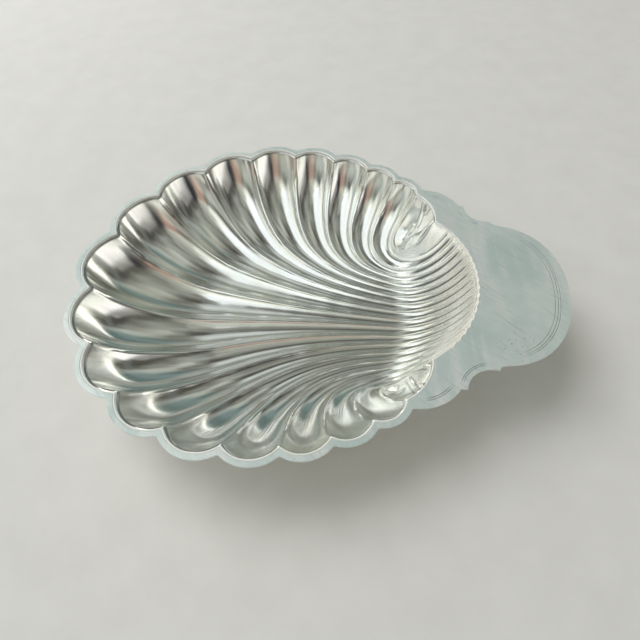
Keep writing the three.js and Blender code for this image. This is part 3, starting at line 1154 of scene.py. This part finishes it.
def bumped(tree, height, millimetres):
    """A mask as relief, its full height given in millimetres."""
    made = add_node(tree, "ShaderNodeBump", {"Height": height, "Distance": millimetres * MM})
    return made.outputs["Normal"]


def feed(tree, shader, sources):
    """Links each source to the shader's socket of that name."""
    for socket, source in sources.items():
        tree.links.new(source, shader.inputs[socket])
    print(len(tree.nodes), "nodes feed", ", ".join(sources))


print("a mix has its colours at", MIX_COLOURS)

# %% Polished silver of the bowl
CLEAN = (0.98, 0.98, 0.965)
TARNISHED = (0.92, 0.915, 0.85)
# A warm tint towards the hinge, a painted reflection of warm things in the room
WARM_REFLECTION = (0.95, 0.895, 0.86)
WARM_REFLECTION_SHARE = 0.7
WARM_REFLECTION_SPAN = (0.058, 0.08)
# Near-black painted shade, where the vertices carry it
BOWL_SHADE = (0.05, 0.05, 0.045)
# How many clouds there are each way, and the values of the noise that are made 0 and 1
TARNISH_CLOUDS = ((26, 26, 26), 0.46, 0.68)
POLISH_LINES = ((900, 11, 1), 0.3, 0.7)
RIPPLES = ((150, 150, 150), 0.3, 0.7)
POLISHED = (0.11, 0.2)
WORN = 0.25
LINES_SEEN = 0.8
LINES_FELT = 0.08
RIPPLE_HEIGHT = 0.01
tree, shader = new_finish(bowl, "rubbed_silver", {"Metallic": 1})
spots = spots_of(tree)
along_flutes = add_node(tree, "ShaderNodeUVMap", {}, uv_map="Run").outputs["UV"]
worn = painted(tree, "worn")
tarnish = masked(tree, spots, *TARNISH_CLOUDS)
lines = masked(tree, along_flutes, *POLISH_LINES)
ripples = masked(tree, spots, *RIPPLES)
place_along = add_node(tree, "ShaderNodeSeparateXYZ", {"Vector": spots}).outputs["X"]
# Where the painted reflection of the warm room is mixed in, growing towards the hinge
reflection_at_hinge = between(tree, place_along, 0, WARM_REFLECTION_SHARE, *WARM_REFLECTION_SPAN)
clean = mixed(tree, tarnish, CLEAN, TARNISHED)
warm_reflected = mixed(tree, reflection_at_hinge, clean, WARM_REFLECTION)
rough = between(tree, added(tree, tarnish, lines, LINES_SEEN), *POLISHED)
# The base colour turns to painted shade in the creases
feed(tree, shader, {
    "Base Color": mixed(tree, painted(tree, "painted_shade"), warm_reflected, BOWL_SHADE),
    "Roughness": added(tree, rough, worn, WORN),
    "Metallic": between(tree, worn, 1, WORN),
    "Normal": bumped(tree, added(tree, ripples, lines, LINES_FELT), RIPPLE_HEIGHT),
})

# %% Satin silver of the plate
BARE = (0.93, 0.99, 0.975)
HAZED = (0.72, 0.82, 0.81)
PITTED = (0.16, 0.18, 0.17)
# How much of each kind of line is seen, and its colour
WIPED = (0.85, (1.0, 1.0, 1.0))
STONED = (0.4, (0.66, 0.75, 0.75))
SCRATCHED = (0.5, (0.5, 0.57, 0.57))
# Painted shade at the bottom of the engraved cuts
CUT_SHADE = (0.2, 0.23, 0.23)
# The same again; lines also begin with how many degrees they are turned
HAZE_CLOUDS = ((22, 22, 22), 0.42, 0.6)
STONE_LINES = (24, (60, 2600, 60), 0.3, 0.7)
SCRATCH_LINES = (38, (24, 900, 24), 0.58, 0.7)
STREAK_LINES = (80, (20, 130, 20), 0.47, 0.66)
PIT_PATCH = (0.103, -0.034, 0.04)
PIT_SPAN = (0.014, 0.004)
PITS = {"Per Metre": 800, "Size": 0.36, "Share": 0.3}
SATIN = (0.42, 0.62)
STONE_SEEN = 0.6
SCRATCH_FELT = -0.8
PIT_FELT = -3.0
LINE_HEIGHT = 0.012
tree, shader = new_finish(plate, "satin_silver", {"Metallic": 0.62})
spots = spots_of(tree)
haze = masked(tree, spots, *HAZE_CLOUDS)
stone = ruled(tree, spots, *STONE_LINES)
scratches = ruled(tree, spots, *SCRATCH_LINES)
streaks = ruled(tree, spots, *STREAK_LINES)
dots = add_node(tree, "ShaderNodeGroup", {"Vector": spots, **PITS}, node_tree=pits).outputs["Mask"]
pitting = calculated(tree, "MULTIPLY", dots, near(tree, spots, PIT_PATCH, PIT_SPAN))
shade = mixed(tree, haze, BARE, HAZED)
for seen, (share, colour) in ((streaks, WIPED), (stone, STONED), (scratches, SCRATCHED)):
    shade = mixed(tree, between(tree, seen, 0, share), shade, colour)
pitted = mixed(tree, pitting, shade, PITTED)
relief = added(tree, added(tree, stone, scratches, SCRATCH_FELT), pitting, PIT_FELT)
feed(tree, shader, {
    "Base Color": mixed(tree, painted(tree, "painted_shade"), pitted, CUT_SHADE),
    "Roughness": between(tree, added(tree, haze, stone, STONE_SEEN), *SATIN),
    "Normal": bumped(tree, relief, LINE_HEIGHT),
})

# %% Solder
BRIGHT_SOLDER = (0.62, 0.6, 0.55)
DULL_SOLDER = (0.36, 0.34, 0.3)
SOLDER_SKIN = ((260, 260, 260), 0.35, 0.65)
SKIN_ROUGH = (0.35, 0.6)
SKIN_HEIGHT = 0.05
tree, shader = new_finish(seam, "hard_solder", {"Metallic": 1})
skin = masked(tree, spots_of(tree), *SOLDER_SKIN)
feed(tree, shader, {
    "Base Color": mixed(tree, skin, BRIGHT_SOLDER, DULL_SOLDER),
    "Roughness": between(tree, skin, *SKIN_ROUGH),
    "Normal": bumped(tree, skin, SKIN_HEIGHT),
})

# %% [markdown]
# ## Floor and light
#
# The dish stands on a plain pale sheet. Silver shows little else than what stands round it, so the
# light is a ring of soft panels where the photograph's reflections place them: one large window
# to the left and behind, a low bright horizon, and dim cards for the walls and the ceiling. The
# sheet lies a hair lower than the dish, since two faces in one plane would render as stripes.

# %% Floor
FLOOR_GAP = 0.05 * MM
FLOOR_SIZE = 4
PALE = (0.80, 0.785, 0.76)
SHADED = (0.76, 0.745, 0.72)
SHEET_GRAIN = ((45, 45, 45), 0.3, 0.7)
bpy.ops.mesh.primitive_plane_add(size=FLOOR_SIZE)
floor = bpy.context.object
floor.name = "floor"
floor.location.z = -FLOOR_GAP
tree, shader = new_finish(floor, "pale_sheet", {"Roughness": 0.8})
grain = masked(tree, spots_of(tree), *SHEET_GRAIN)
feed(tree, shader, {"Base Color": mixed(tree, grain, PALE, SHADED)})

# %% Light
MIDDLE = Vector((-0.04, 0, TOP * MM))
REACH = 1.3
CREAM = (1.0, 0.995, 0.9)
COOL = (0.9, 0.97, 1.0)
OLIVE = (0.97, 1.0, 0.88)
TEAL = (0.84, 1.0, 0.98)


def direction(azimuth, elevation):
    """The way to a place in the room, seen from the dish."""
    around, up = radians(azimuth), radians(elevation)
    return Vector((cos(around) * cos(up), sin(around) * cos(up), sin(up)))


def panel(name, azimuth, elevation, wide, high, radiance, colour, reach=REACH):
    """A soft rectangle of light, its place and its size given as angles seen from the dish."""
    way = direction(azimuth, elevation)
    data = bpy.data.lights.new(name, "AREA")
    data.shape = "RECTANGLE"
    data.size = 2 * reach * tan(radians(wide / 2)) * cos(radians(elevation))
    data.size_y = 2 * reach * tan(radians(high / 2))
    data.energy = radiance * pi * data.size * data.size_y
    data.color = colour
    made = bpy.data.objects.new(name, data)
    made.location = MIDDLE + way * reach
    made.rotation_euler = (-way).to_track_quat("-Z", "Y").to_euler()
    bpy.context.scene.collection.objects.link(made)
    return made


# The low horizon, the whole way round
panel("lamp", 120, 5, 20, 10, 5.0, CREAM)
panel("horizon_left", 150, 5, 40, 10, 1.3, CREAM)
panel("horizon_front", 200, 5, 60, 10, 0.6, CREAM)
panel("horizon_near", 280, 5, 80, 10, 0.6, CREAM)
panel("horizon_right", 350, 5, 60, 10, 0.7, CREAM)
panel("horizon_far", 55, 5, 70, 10, 1.4, CREAM)
# The window, in panes of its own brightness
panel("window_low", 186, 29, 52, 14, 0.75, CREAM)
panel("window_corner", 140, 29, 20, 14, 1.2, COOL)
panel("window_side", 150, 44, 30, 16, 1.5, CREAM)
panel("window_middle", 195, 44, 60, 16, 0.85, COOL)
panel("window_edge", 240, 44, 30, 16, 0.6, OLIVE)
panel("window_top", 200, 62, 90, 20, 0.8, COOL)
# Dim cards for the walls
panel("left_sill", 175, 16, 90, 12, 0.25, TEAL)
panel("near_sill", 250, 17, 56, 14, 0.22, OLIVE)
panel("right_screen", 338, 16, 60, 12, 0.8, (1.0, 0.95, 0.93))
panel("right_wall", 335, 29, 50, 14, 0.2, (1.0, 1.0, 0.96))
panel("near_wall", 275, 44, 40, 16, 0.2, OLIVE)
panel("back_wall", 60, 30, 90, 12, 0.08, TEAL)
panel("back_corner", 130, 62, 50, 20, 0.3, COOL)
panel("back_shelf", 122, 44, 26, 16, 0.2, TEAL)
panel("back_shade", 58, 44, 34, 16, 0.16, OLIVE)
panel("back_top", 45, 62, 44, 20, 0.2, OLIVE)
panel("near_top", 272, 62, 44, 20, 0.2, OLIVE)
panel("ceiling", 0, 90, 36, 36, 0.2, OLIVE)
# A soft box for the floor and the satin, which the polished silver doesn't mirror
soft_box = panel("soft_box", 150, 58, 60, 40, 3.2, (0.99, 0.99, 1.0), reach=3.0)
soft_box.visible_glossy = False
print(len(bpy.data.lights), "panels of light")

# %% [markdown]
# ## The walls of the room
#
# Between the panels the silver mirrors the room itself: soft clouds of darker and lighter wall, and
# three patches where the photograph's flutes mirror a colour of its own, one dim and greenish, one
# copper and one nearly black. The world's colour is used, since a panel can only add light.

# %% Walls
PATCH_SOFTNESS = 0.3
WALL_CLOUDS = ((1.7, 1.7, 2.6), 0.4, 0.6)
DARKER = (0.065, 0.062, 0.05)
LIGHTER = (0.33, 0.35, 0.31)


def patch_of_wall(tree, way, walls, azimuth, elevation, wide, colour):
    """A soft round patch of the walls in its own colour, its width given as an angle."""
    edge = radians(wide / 2)
    span = (1 + PATCH_SOFTNESS) * edge, (1 - PATCH_SOFTNESS) * edge
    return mixed(tree, near(tree, way, direction(azimuth, elevation), span), walls, colour)


world = bpy.data.worlds.new("room")
bpy.context.scene.world = world
world.use_nodes = True
tree = world.node_tree
way = add_node(tree, "ShaderNodeTexCoord", {}).outputs["Generated"]
walls = mixed(tree, masked(tree, way, *WALL_CLOUDS), DARKER, LIGHTER)
walls = patch_of_wall(tree, way, walls, 75, 22, 44, (0.11, 0.16, 0.15))
walls = patch_of_wall(tree, way, walls, 276, 27, 26, (0.4, 0.27, 0.21))
walls = patch_of_wall(tree, way, walls, 302, 26, 26, (0.02, 0.02, 0.025))
tree.links.new(walls, tree.nodes["Background"].inputs["Color"])
bpy.context.scene.view_settings.view_transform = "Standard"
print("walls made with", len(tree.nodes), "nodes")
